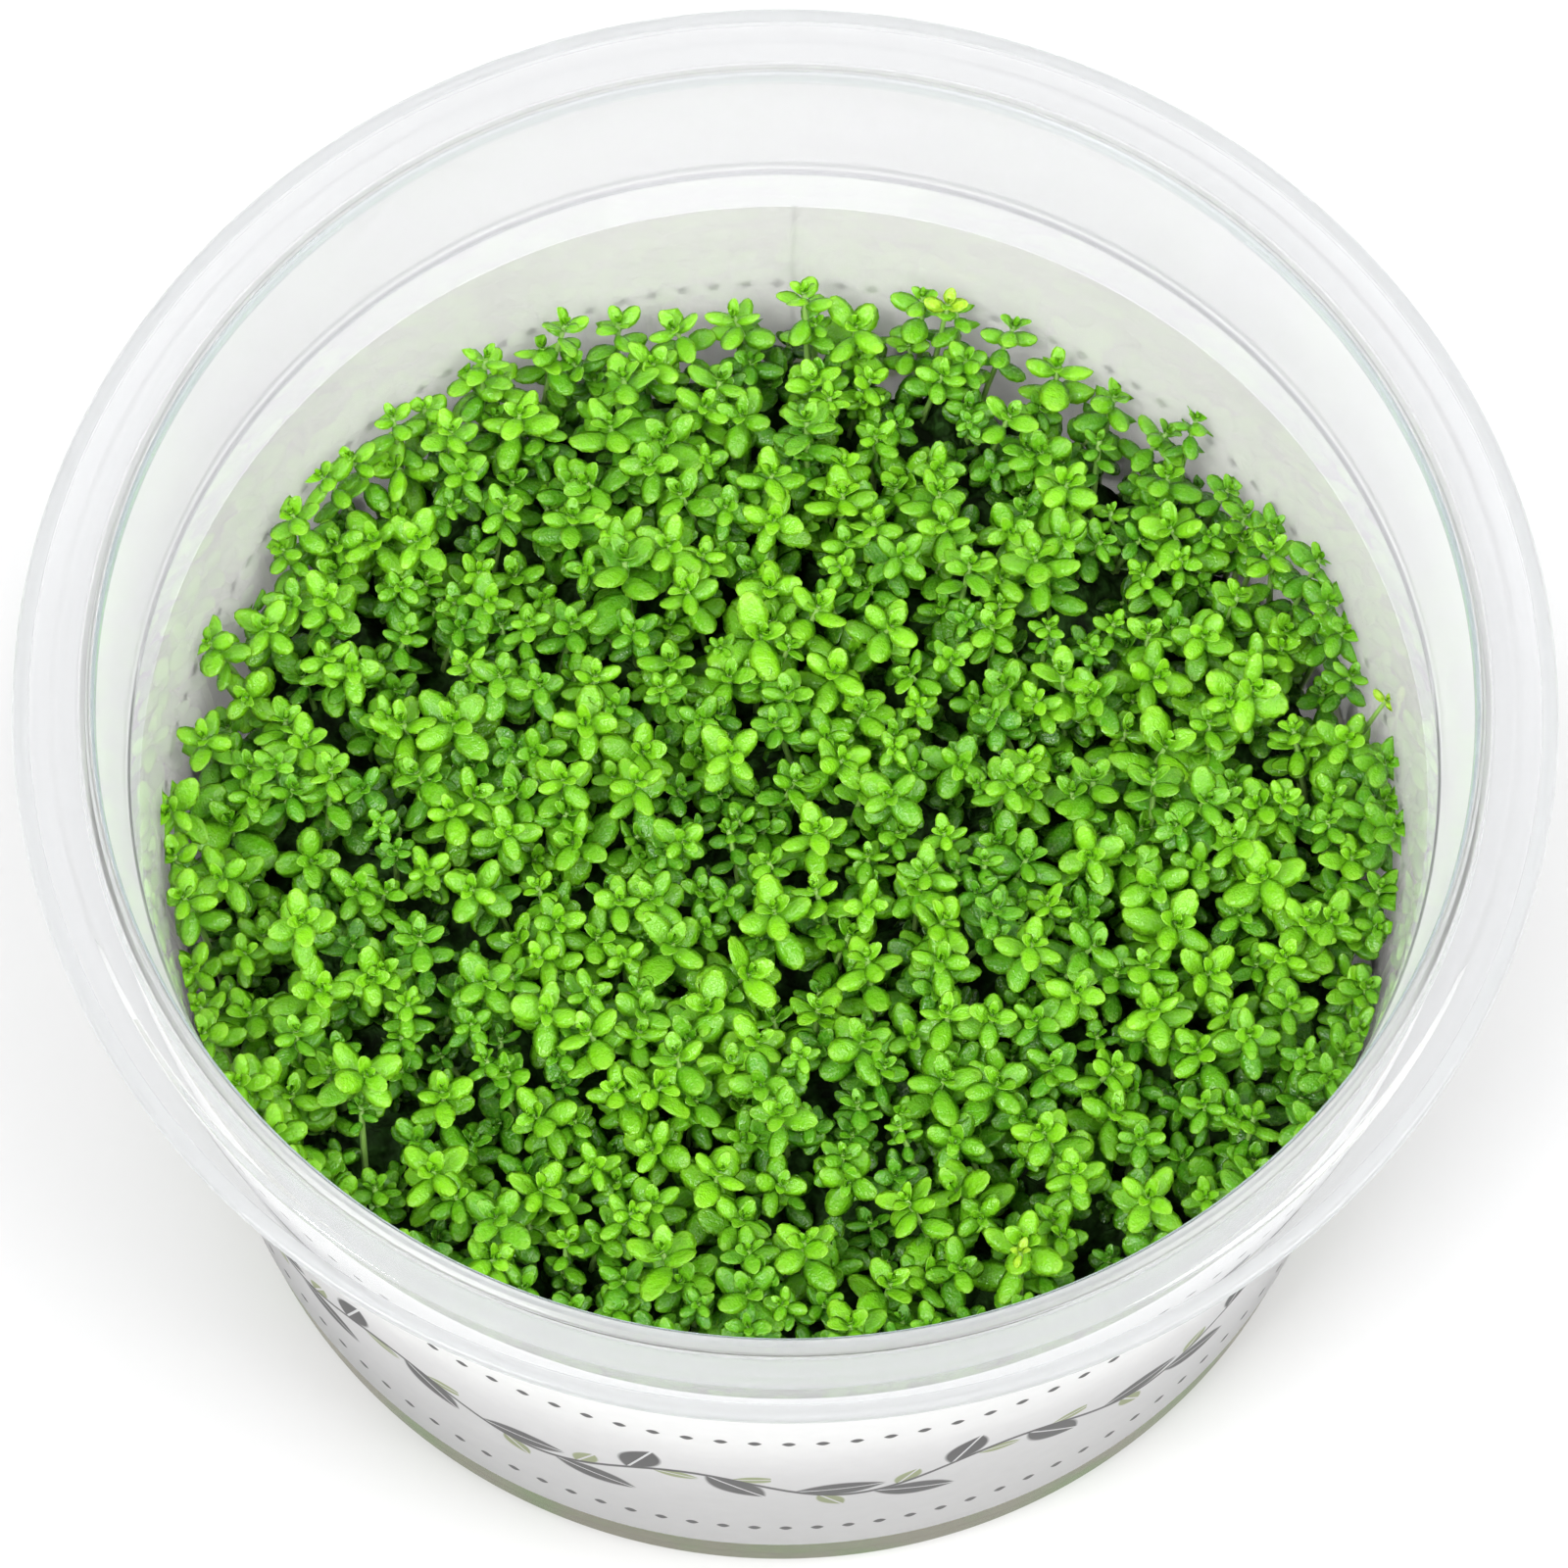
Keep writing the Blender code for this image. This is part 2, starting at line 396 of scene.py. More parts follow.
# Painted shade at the foot, in the gel's olive and green.
FOOT_SHADE_SHARE = 0.52
FOOT_SHADE_OLIVE, FOOT_SHADE_GREEN = (0.185, 0.175, 0.105), (0.125, 0.205, 0.05)
SHADE_OF_WALL, SHADE_OF_FLANGE = (0.95, 0.96, 0.96), (0.78, 0.79, 0.80)
within_flange = ranged(tree, radius, FLANGE_FROM_R, FLANGE_FROM_R + 0.3 * MM, 1.0, 0.0)
on_rim = times(tree, above_ledge, within_flange)
plug(tree, shader, {"Roughness": times(tree, on_rim, RIM_ROUGH)})
haze_colour = blend(tree, on_skirt, RIM_GLOW, EDGE_GLOW)
haze_colour = blend(tree, at_bead, haze_colour, BEAD_TINT_AND_SHADE)
haze = add_node(tree, "BsdfTranslucent", {"Color": haze_colour})
scuffed = times(tree, on_rim, ranged(tree, at_bead, 0.0, 1.0, 1.0, CLEARER_BEAD))
rim_share = ranged(tree, scuffed, 0.0, 1.0, WALL_HAZE, RIM_HAZE)
haze_share = maths(tree, "MAXIMUM", rim_share, times(tree, on_skirt, EDGE_HAZE))
hazy = mixed(tree, haze_share, shader, haze)
foot_shade_colour = blend(tree, weeping, FOOT_SHADE_OLIVE, FOOT_SHADE_GREEN)
foot_shade = add_node(tree, "BsdfDiffuse", {"Color": foot_shade_colour})
with_foot_shade = mixed(tree, times(tree, low_down, FOOT_SHADE_SHARE), hazy, foot_shade)
lamp_rays = add_node(tree, "LightPath").outputs["Is Shadow Ray"]
shade = blend(tree, on_flange, SHADE_OF_WALL, SHADE_OF_FLANGE)
let_through = add_node(tree, "BsdfTransparent", {"Color": shade})
show(tree, mixed(tree, lamp_rays, with_foot_shade, let_through))
print("haze share of the rim", RIM_HAZE)

# %% [markdown]
# ## The cup
#
# A round moulding is one outline turned about its axis. The outline runs out over the foot and up
# the outside, and comes back down the inside, with a real wall between. Above a small ledge the rim
# stands straighter and ends in a rounded bead. Beyond a groove the flange spreads to a short
# down-turned edge, and the mould's turning marks are left on its top as fine ripples.
#
# Three helpers serve the sleeve and the gel too. They turn an outline, round its corners, and make a
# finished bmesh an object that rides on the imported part.


# %% helpers that turn an outline and keep the piece
def piece(name, shape, finishes, slot, *nodes):
    """The object that a bmesh becomes. It rides on the part and stands for its plain solids."""
    mesh = bpy.data.meshes.new(name)
    shape.to_mesh(mesh)
    shape.free()
    for finish in finishes:
        mesh.materials.append(finish)
    made = bpy.data.objects.new(name, mesh)
    scene.collection.objects.link(made)
    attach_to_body(made, "root")
    if nodes:
        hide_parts(*nodes)
    print(name, len(mesh.polygons), "faces")


def turned(profile, steps):
    """A bmesh turned once round Z from an outline of (radius, height) points."""
    shape = bmesh.new()
    points = [shape.verts.new((r, 0, z)) for r, z in profile]
    edges = [shape.edges.new(pair) for pair in zip(points, points[1:])]
    if profile[0][0] > 0:
        edges.append(shape.edges.new((points[-1], points[0])))
    bmesh.ops.spin(
        shape,
        geom=points + edges,
        cent=(0, 0, 0),
        axis=(0, 0, 1),
        angle=2 * math.pi,
        steps=steps,
        use_merge=True,
    )
    bmesh.ops.remove_doubles(shape, verts=shape.verts, dist=0.0005 * MM)
    bmesh.ops.recalc_face_normals(shape, faces=shape.faces)
    for face in shape.faces:
        face.smooth = True
    return shape


def arc(centre_r, centre_z, radius, start, end, steps=4):
    """Points on a rounded corner of an outline, by angles in degrees."""
    turns = [math.radians(start + (end - start) * k / steps) for k in range(steps + 1)]
    return [(centre_r + radius * math.cos(a), centre_z + radius * math.sin(a)) for a in turns]


print("helpers for pieces ready")

# %% the cup's measures
FLANGE_R = CUP_HIGH.x
FLANGE_TOP = CUP_HIGH.z - 0.3 * MM
FLANGE_LOW = FLANGE_TOP - 0.2 * MM
WALL = 0.8 * MM
BASE_R = 37.85 * MM
LEDGE_R = 40.9 * MM
RECESS = 0.9 * MM
FOOT_INNER_R = 34.0 * MM
CORNER_R = 1.2 * MM
RIM_LOW_R = 41.1 * MM
LIP_R = 42.4 * MM
# The low bead of the mouth: distances out from the lip and up from the flange, in millimetres
BEAD_PROFILE = (
    (1.10, -0.09), (1.00, -0.09), (0.93, -0.13), (0.86, -0.07), (0.62, -0.04), (0.55, 0.03), (0.48, 0.16),
    (0.40, 0.25), (0.30, 0.29), (0.21, 0.30), (0.12, 0.27), (0.05, 0.18), (0.0, 0.04), (-0.01, -0.2),
)
STEP_R = 45.0 * MM
RIPPLE_PITCH = 0.50 * MM
RIPPLE_DEPTH = 0.018 * MM
INNER_CORNER_R = 1.2 * MM
# Half way up the wall, and where its inner corner ends
WALL_MIDDLE_Z = 20 * MM
CORNER_TOP_Z = 3 * MM
CUP_STEPS = 240
print("flange", round(2 * FLANGE_R / MM, 1), "mm across")


# %% the cup's outline, turned
def outer_radius(z):
    """Radius of the tapered wall's outside at height z."""
    return BASE_R + (LEDGE_R + WALL - BASE_R) * z / LEDGE_Z


def inner_radius(z):
    return outer_radius(z) - WALL


def inner_corner(radius, start, end):
    """The rounded corner inside the cup's foot, which the gel fills too."""
    centre_r = inner_radius(CORNER_TOP_Z) - INNER_CORNER_R
    return arc(centre_r, RECESS + WALL + INNER_CORNER_R, radius, start, end, 5)


def ripples(out_from, out_to, height):
    """Points of a nearly flat face that rises and falls a little, as a turned mould leaves it."""
    count = round((out_from - out_to) / RIPPLE_PITCH)
    steps = [(out_from + (out_to - out_from) * k / count, k % 2) for k in range(count + 1)]
    return [(out, height - RIPPLE_DEPTH * down) for out, down in steps]


def cup_outline():
    under = FLANGE_LOW - WALL
    foot_arc = arc(outer_radius(CORNER_R) - CORNER_R, CORNER_R, CORNER_R, -90, -5, 6)
    outside = [
        (0, RECESS),
        (FOOT_INNER_R - 1.6 * MM, RECESS),
        *arc(FOOT_INNER_R - 0.5 * MM, RECESS - 0.45 * MM, 0.45 * MM, 90, 0, 3),
        *arc(FOOT_INNER_R + 0.4 * MM, 0.4 * MM, 0.4 * MM, 180, 270, 3),
        *foot_arc,
        (outer_radius(WALL_MIDDLE_Z), WALL_MIDDLE_Z),
        (outer_radius(LEDGE_Z - 0.6 * MM), LEDGE_Z - 0.6 * MM),
        (RIM_LOW_R + WALL - 0.03 * MM, LEDGE_Z - 0.45 * MM),
        (RIM_LOW_R + WALL + 0.05 * MM, LEDGE_Z - 0.2 * MM),
        (LIP_R + WALL, under - 0.5 * MM),
        *arc(LIP_R + WALL + 0.5 * MM, under - 0.5 * MM, 0.5 * MM, 180, 90, 4)[1:],
        (STEP_R + 0.4 * MM, under),
        (FLANGE_R - WALL, under),
        *arc(FLANGE_R - 0.35 * MM, under - 0.05 * MM, 0.2 * MM, 180, 360, 5),
    ]
    inside = [
        *arc(FLANGE_R - 0.3 * MM, FLANGE_LOW - 0.3 * MM, 0.3 * MM, 0, 90, 4),
        *ripples(FLANGE_R - 0.6 * MM, STEP_R + 0.3 * MM, FLANGE_LOW),
        (STEP_R + 0.1 * MM, FLANGE_LOW),
        (STEP_R - 0.1 * MM, FLANGE_TOP - 0.1 * MM),
        *ripples(STEP_R - 0.3 * MM, LIP_R + 1.3 * MM, FLANGE_TOP - 0.1 * MM),
        *[(LIP_R + out * MM, FLANGE_TOP + up * MM) for out, up in BEAD_PROFILE],
        (LIP_R - 0.04 * MM, FLANGE_TOP - 1.0 * MM),
        (RIM_LOW_R + 0.02 * MM, LEDGE_Z + 0.25 * MM),
        (RIM_LOW_R - 0.06 * MM, LEDGE_Z + 0.04 * MM),
        (LEDGE_R + 0.03 * MM, LEDGE_Z - 0.02 * MM),
        (LEDGE_R - 0.02 * MM, LEDGE_Z - 0.2 * MM),
        (inner_radius(WALL_MIDDLE_Z), WALL_MIDDLE_Z),
        *inner_corner(INNER_CORNER_R, 0, -90),
        (0, RECESS + WALL),
    ]
    return outside + inside


piece("cup_body", turned(cup_outline(), CUP_STEPS), [clear_plastic], "clear_plastic", "cup")

# %% [markdown]
# ## The sleeve
#
# A white film is wrapped round the wall, printed with a plain running vine of leaves in soft greys.
# The print is worked out in the material from the angle round the cup and the height, so that it
# follows the sleeve from every side. One leaf is a lens with pointed ends: its half width falls off
# as the square of the way to its tip. A fine gap along the middle is its rib.

# %% the print of one leaf, as a node group
LEAF_SOFT = 0.10
LEAF_INPUTS = ("Along", "Up", "Middle Along", "Middle Up", "Turn", "Half Length", "Half Width", "Half Rib")
leaf_print, took, gave = new_group("leaf_print", LEAF_INPUTS, "Inside")
tree = leaf_print
along = maths(tree, "SUBTRACT", took["Along"], took["Middle Along"])
up = maths(tree, "SUBTRACT", took["Up"], took["Middle Up"])
cosine = maths(tree, "COSINE", took["Turn"])
sine = maths(tree, "SINE", took["Turn"])
lengthwise = maths(tree, "ADD", times(tree, along, cosine), times(tree, up, sine))
crosswise = maths(tree, "SUBTRACT", times(tree, up, cosine), times(tree, along, sine))
aside = maths(tree, "ABSOLUTE", crosswise)
far_long = maths(tree, "POWER", maths(tree, "DIVIDE", lengthwise, took["Half Length"]), 2.0)
apart = maths(tree, "ADD", far_long, maths(tree, "DIVIDE", aside, took["Half Width"]))
blade = ranged(tree, apart, 1 - LEAF_SOFT, 1 + LEAF_SOFT, 1.0, 0.0)
off_rib = maths(tree, "GREATER_THAN", aside, took["Half Rib"])
tree.links.new(times(tree, blade, off_rib), gave["Inside"])
print("group", leaf_print.name)

# %% [markdown]
# The vine is laid out in millimetres along the film and up it. The way along comes from the angle
# round the cup and wraps into equal cells, so that one stretch repeats all round with no break. The
# stem is a sine wave. Dark and sage leaves stand on it, each a copy of the leaf group with its own
# place and turn, and a row of small dots runs above the vine and another below it.

# %% the vine's measures, in millimetres
VINE_UP = 21.5
VINE_WAVE = 2.4
VINE_PERIOD = 21.0
STEM_HALF, STEM_FADED = 0.20, 0.32
# Where a leaf stands along the stem, on which side, and half its length
DARK_LEAVES = ((-9.0, 1, 3.0), (-3.9, -1, 3.0), (1.2, 1, 2.8), (6.3, -1, 3.0))
SAGE_LEAVES = ((-7.4, -1, 1.7), (-2.3, 1, 1.7), (2.8, -1, 1.6), (7.9, 1, 1.6))
LEAF_SPREAD = math.radians(38)
LEAF_SLIMNESS = 0.46
HALF_RIB = 0.09
DOT_STEP = 2.1
DOT_HALF = 0.45
DOT_ROWS = (10.6, 33.0)
LABEL_MEAN_R = 40.0
label_film, tree, shader = new_material("label_film")
place = object_place(tree)
split = add_node(tree, "SeparateXYZ", {0: place}).outputs
minus_y = times(tree, split["Y"], -1.0)
angle = maths(tree, "ARCTAN2", split["X"], minus_y)
along_mm = times(tree, angle, LABEL_MEAN_R)
up_mm = times(tree, split["Z"], 1 / MM)
print("film", round(2 * math.pi * LABEL_MEAN_R), "mm round")


# %% draw the vine
def repeated(step):
    """The distance along the sleeve, wrapped into equal cells of about that length, from their middle."""
    whole = 2 * math.pi * LABEL_MEAN_R
    length = whole / round(whole / step)
    wrapped = maths(tree, "WRAP", along_mm, length, 0.0)
    return maths(tree, "SUBTRACT", wrapped, length / 2), length


def leaf_mask(cell, middle, turn, half_length, half_width, half_rib):
    values = (cell, up_mm, *middle, turn, half_length, half_width, half_rib)
    leaf = add_node(tree, "Group", dict(zip(LEAF_INPUTS, values)), node_tree=leaf_print)
    return leaf.outputs["Inside"]


def vine_leaf(attach, side, half_length):
    """A leaf whose foot sits on the wavy stem, on its upper side (1) or its lower side (-1)."""
    phase = 2 * math.pi * attach / period
    slope = math.atan(VINE_WAVE * 2 * math.pi / period * math.cos(phase))
    turn = slope + side * LEAF_SPREAD
    foot_up = VINE_UP + VINE_WAVE * math.sin(phase)
    middle = (attach + half_length * math.cos(turn), foot_up + half_length * math.sin(turn))
    return leaf_mask(cell, middle, turn, half_length, half_length * LEAF_SLIMNESS, HALF_RIB)


def joined_masks(masks):
    total = masks[0]
    for mask in masks[1:]:
        total = maths(tree, "MAXIMUM", total, mask)
    return total


cell, period = repeated(VINE_PERIOD)
phase = times(tree, cell, 2 * math.pi / period)
wave = times(tree, maths(tree, "SINE", phase), VINE_WAVE)
stem = near(tree, up_mm, maths(tree, "ADD", wave, VINE_UP), STEM_HALF, STEM_FADED)
dot_cell, _ = repeated(DOT_STEP)
dots = [leaf_mask(dot_cell, (0.0, row), 0.0, DOT_HALF, DOT_HALF, 0.0) for row in DOT_ROWS]
ink = joined_masks([stem] + dots + [vine_leaf(*leaf) for leaf in DARK_LEAVES])
sage = joined_masks([vine_leaf(*leaf) for leaf in SAGE_LEAVES])
print("a vine that repeats every", round(period, 1), "mm")

# %% [markdown]
# Under the print the film is white with faint clouds. The seam is a fine line at the back, where the
# two ends of the film meet. A thin film also lets light through from behind: a Translucent shader,
# mixed in by a share, does that. Without it the side away from the lamps would be a flat grey.


# %% the film's outer side
def let_light_through(tree, shader, colour, share):
    """Mix in a Translucent shader, so that light from behind a thin piece brightens its near side."""
    behind = add_node(tree, "BsdfTranslucent", {"Color": colour})
    show(tree, mixed(tree, share, shader, behind))


PAPER_DULL, PAPER_LIGHT = (0.80, 0.795, 0.80), (0.85, 0.845, 0.85)
LABEL_INK = (0.10, 0.098, 0.098)
LABEL_SAGE = (0.36, 0.41, 0.19)
INK_COVERS, SAGE_COVERS, SEAM_COVERS = 0.96, 0.92, 0.45
SEAM_FADES, SEAM_FULL = math.pi - 0.006, math.pi - 0.003
FILM_THROUGH = 0.40
seam = ranged(tree, maths(tree, "ABSOLUTE", angle), SEAM_FADES, SEAM_FULL, 0.0, SEAM_COVERS)
inked = blend(tree, noise(tree, place, 700.0), PAPER_DULL, PAPER_LIGHT)
inked = blend(tree, times(tree, sage, SAGE_COVERS), inked, LABEL_SAGE)
inked = blend(tree, times(tree, ink, INK_COVERS), inked, LABEL_INK)
inked = blend(tree, seam, inked, LABEL_INK)
plug(tree, shader, {"Base Color": inked, "Roughness": 0.45, "IOR": 1.45})
raise_skin(tree, shader, noise(tree, place, 1500.0), 0.15, 0.05 * MM)
let_light_through(tree, shader, inked, FILM_THROUGH)
print("material", label_film.name)

# %% [markdown]
# The film's inner side isn't printed. Above the plants it shows through the clear wall as a warmer
# white with faint green clouds, painted light for the green that the leaves throw on it, and it glows
# more with the light from outside.

# %% the film's plain inner side
# Painted light: green clouds and a greener white for the light that the leaves throw on the film.
INNER_LEAF_LIGHT_CLOUDS = (130.0, 3.0, 0.50, 0.68, 0.5)
INNER_LEAF_LIT_WHITE, INNER_LEAF_LIT_CLOUD = (0.90, 0.905, 0.85), (0.85, 0.86, 0.795)
BACK_THROUGH = 0.80
label_back, tree, shader = new_material("label_back")
clouds = patchy(tree, object_place(tree), *INNER_LEAF_LIGHT_CLOUDS)
leaf_lit_inner_tone = blend(tree, clouds, INNER_LEAF_LIT_WHITE, INNER_LEAF_LIT_CLOUD)
plug(tree, shader, {"Base Color": leaf_lit_inner_tone, "Roughness": 0.6})
let_light_through(tree, shader, leaf_lit_inner_tone, BACK_THROUGH)
print("material", label_back.name)

# %% [markdown]
# The sleeve is a thin ring, turned like the cup and a hair off its wall. Its outer side is a little
# shorter, so the cut edges have a bevel that catches the light. The faces that look inwards get the
# plain finish.

# %% wrap the sleeve
FILM = 0.15 * MM
FILM_GAP = 0.06 * MM
LABEL_EDGE = 0.04 * MM


def sleeve_outline():
    low, high = LABEL_LOW.z, LABEL_HIGH.z
    inner = [(outer_radius(z) + FILM_GAP, z) for z in (high, low)]
    outer = [(outer_radius(z) + FILM_GAP + FILM, z) for z in (low + LABEL_EDGE, high - LABEL_EDGE)]
    return inner + outer


sleeve_shape = turned(sleeve_outline(), CUP_STEPS)
for face in sleeve_shape.faces:
    middle = face.calc_center_median()
    if face.normal.x * middle.x + face.normal.y * middle.y < 0:
        face.material_index = 1
piece("label_sleeve", sleeve_shape, [label_film, label_back], "label_paper", "label")

# %% [markdown]
# ## The gel
#
# The plants stand in about a centimetre of set gel. It is cloudy, and only its lowest edge shows
# below the sleeve, an olive band with greener patches. Pale roots run through it: the edges between
# the cells of a Voronoi pattern, bent by noise so that they wander.

# %% gel
WET = 0.03 * MM
SKIN_DIP = 0.8 * MM
GEL_OLIVE, GEL_GREEN = (0.075, 0.075, 0.052), (0.045, 0.090, 0.020)
ROOT_PALE = (0.21, 0.20, 0.15)
ROOT_SCALE = 240.0
ROOT_WANDER = 8 * MM
ROOT_HALF, ROOT_FADED = 0.01, 0.05
ROOT_SHOWS = 0.55
set_gel, tree, shader = new_material("set_gel")
place = object_place(tree)
cloudy = blend(tree, patchy(tree, place, *GREEN_PATCHES), GEL_OLIVE, GEL_GREEN)
wander = add_node(tree, "TexNoise", {"Vector": place, "Scale": 160.0, "Detail": 2.0})
reach = {0: wander.outputs["Color"], "Scale": ROOT_WANDER}
wandered = add_node(tree, "VectorMath", reach, operation="SCALE").outputs[0]
root_place = add_node(tree, "VectorMath", {0: place, 1: wandered}, operation="ADD").outputs[0]
cell_inputs = {"Vector": root_place, "Scale": ROOT_SCALE}
root_cells = add_node(tree, "TexVoronoi", cell_inputs, feature="DISTANCE_TO_EDGE")
roots = ranged(tree, root_cells.outputs["Distance"], ROOT_HALF, ROOT_FADED, ROOT_SHOWS, 0.0)
plug(tree, shader, {"Base Color": blend(tree, roots, cloudy, ROOT_PALE), "Roughness": 0.22})
plug(tree, shader, {"Transmission Weight": 0.15, "IOR": 1.34})
raise_skin(tree, shader, noise(tree, place, 200.0), 0.3, 0.4 * MM)
print("material", set_gel.name)


def gel_outline():
    """The gel fills the cup's bottom. It is wet against the wall, so its skin reaches just into it."""
    low, high = RECESS + WALL - WET, GEL_HIGH.z
    return [
        (0, low),
        *inner_corner(INNER_CORNER_R + WET, -90, 0),
        (inner_radius(high) + WET, high),
        (inner_radius(high) - 0.8 * MM, high - 0.5 * MM),
        (inner_radius(high) - 2.5 * MM, high - SKIN_DIP),
        (0, high - SKIN_DIP),
    ]


piece("gel_layer", turned(gel_outline(), CUP_STEPS // 2), [set_gel], "nutrient_gel", "nutrient_gel")

# %% [markdown]
# ## The leaves' finish
#
# The leaves are small, fleshy and softly glossy. Those at the growing tips are yellow-green and
# bright, and lower ones are older and a deeper green, with painted shade that deepens the lower a
# leaf sits. Each leaf carries its own tone as an attribute, so one material serves them all. Its red
# says how bright the leaf is, painted shade included, and its blue how yellow it has turned. The
# leaf's own UV map says where its rib, tip, margin and foot are.

# %% a leaf's tone and its map
TONE = "leaf_tone"
OLD_AND_SHADED_GREEN, MID_GREEN, YOUNG_AND_LIT_GREEN = (0.009, 0.064, 0.007), (0.082, 0.37, 0.006), (0.28, 0.74, 0.010)
leaf_finish, tree, shader = new_material("leaf_flesh")
place = object_place(tree)
tone = add_node(tree, "Attribute", attribute_name=TONE)
tone_parts = add_node(tree, "SeparateColor", {0: tone.outputs["Color"]}).outputs
brightness, turned_yellow = tone_parts["Red"], tone_parts["Blue"]
leaf_map = add_node(tree, "UVMap", uv_map="leaf_map").outputs[0]
across, lengthways, _ = add_node(tree, "SeparateXYZ", {0: leaf_map}).outputs
off_rib = maths(tree, "ABSOLUTE", maths(tree, "SUBTRACT", across, 0.5))
to_mid, to_young_and_lit = ranged(tree, brightness, 0.0, 0.5), ranged(tree, brightness, 0.45, 1.0)
greens = blend(tree, to_young_and_lit, blend(tree, to_mid, OLD_AND_SHADED_GREEN, MID_GREEN), YOUNG_AND_LIT_GREEN)
print("greens from", OLD_AND_SHADED_GREEN, "to", YOUNG_AND_LIT_GREEN)

# %% [markdown]
# Over the green lie soft layers, each a mask and a colour: the skin's mottle and fine specks, the
# paler rib, a painted highlight on the tip and another along the margin, and the darker foot. A
# yellowed leaf has a ring of green left round its middle. The noises of the skin also raise its
# relief, and one of them changes its gloss.

# %% layers of colour, gloss and relief
YELLOW, YELLOW_RING = (0.50, 0.78, 0.03), (0.26, 0.58, 0.02)
LEAF_THROUGH = 0.20
LEAF_GLOW = (0.30, 0.72, 0.02)
coarse = noise(tree, place, 1900.0, 2.0)
fine = noise(tree, place, 7000.0, 1.0)
# Painted highlight: the tip is lighter, more so on brighter leaves.
tip = times(tree, ranged(tree, lengthways, 0.7, 1.0, 0.0, 0.35), brightness)
layers = {
    "mottle": (ranged(tree, coarse, 0.40, 0.70, 0.0, 0.30), (0.17, 0.47, 0.012)),
    "specks": (ranged(tree, fine, 0.52, 0.75, 0.0, 0.34), (0.42, 0.74, 0.09)),
    "rib": (ranged(tree, off_rib, 0.01, 0.06, 0.16, 0.0), (0.30, 0.62, 0.06)),
    "tip": (tip, (0.42, 0.70, 0.05)),
    # Painted highlight: a lighter band along the margin.
    "margin": (ranged(tree, off_rib, 0.36, 0.50, 0.0, 0.32), (0.42, 0.73, 0.06)),
    "foot": (ranged(tree, lengthways, 0.0, 0.45, 0.40, 0.0), (0.03, 0.20, 0.012)),
}
for mask, colour in layers.values():
    greens = blend(tree, mask, greens, colour)
out_across = times(tree, off_rib, 2.0)
out_along = times(tree, maths(tree, "SUBTRACT", lengthways, 0.55), 2.0)
ring = near(tree, length_of(tree, out_across, out_along), 0.62, 0.03, 0.14, 0.7)
yellows = blend(tree, ring, YELLOW, YELLOW_RING)
plug(tree, shader, {"Base Color": blend(tree, turned_yellow, greens, yellows)})
plug(tree, shader, {"Roughness": ranged(tree, coarse, 0.3, 0.7, 0.14, 0.32)})
plug(tree, shader, {"IOR": 1.42, "Specular IOR Level": 0.85})
raise_skin(tree, shader, maths(tree, "ADD", coarse, times(tree, fine, 0.4)), 0.7, 0.22 * MM)
let_light_through(tree, shader, blend(tree, 0.5, greens, LEAF_GLOW), LEAF_THROUGH)
print("material", leaf_finish.name, "with", ", ".join(layers))

# %% the stems' finish
stem_finish, tree, shader = new_material("stem_flesh")
stem_tone = blend(tree, noise(tree, object_place(tree), 500.0), (0.16, 0.36, 0.05), (0.34, 0.55, 0.13))
plug(tree, shader, {"Base Color": stem_tone, "Roughness": 0.4})
print("material", stem_finish.name)

# %% [markdown]
# ## One leaf
#
# A leaf is a grid pulled to a rounded oval, a little thicker along its middle. A second, coarser grid
# makes its underside, and both share the rim, so the leaf is a closed lens of 36 faces. A few forms
# are enough: a folded bud leaf, a young one, and mature leaves that are flat, curled back, cupped,
# broad or long.

# %% one side of a leaf
LEAF_ALONG = 6
LEAF_ACROSS = 4
LEAF_WIDEST = 0.52
LEAF_BASE_POWER = 0.64
LEAF_TIP_POWER = 0.56
FLESH = 0.10
FLESH_POWER = 0.6


def half_width(t):
    """Half the leaf's width, as a share of its greatest, at the share t of its length."""
    if t < LEAF_WIDEST:
        return max(1 - ((LEAF_WIDEST - t) / LEAF_WIDEST) ** 2, 0.0) ** LEAF_BASE_POWER
    return max(1 - ((t - LEAF_WIDEST) / (1 - LEAF_WIDEST)) ** 2, 0.0) ** LEAF_TIP_POWER


def leaf_side(shape, columns, side, width, cup, curl):
    """One face of the leaf, of length 1 along +Y, with +Z up. side is 1 on top and -1 below."""
    made = bmesh.ops.create_grid(shape, x_segments=columns, y_segments=LEAF_ALONG, size=1.0)["verts"]
    for point in made:
        s = point.co.x
        t = 0.5 - 0.5 * math.cos(math.pi * (point.co.y + 1) / 2)
        half = width * half_width(t)
        fullness = math.sin(math.pi * t) ** FLESH_POWER if 0 < t < 1 else 0.0
        thick = FLESH * (1 - s * s) * fullness
        rise = cup * (s * half) ** 2 / width - curl * t * t
        point.co = (s * half, t, rise + side * thick / 2)
    if side < 0:
        faces = list({face for point in made for face in point.link_faces})
        bmesh.ops.reverse_faces(shape, faces=faces)


print("leaf widest at", LEAF_WIDEST)


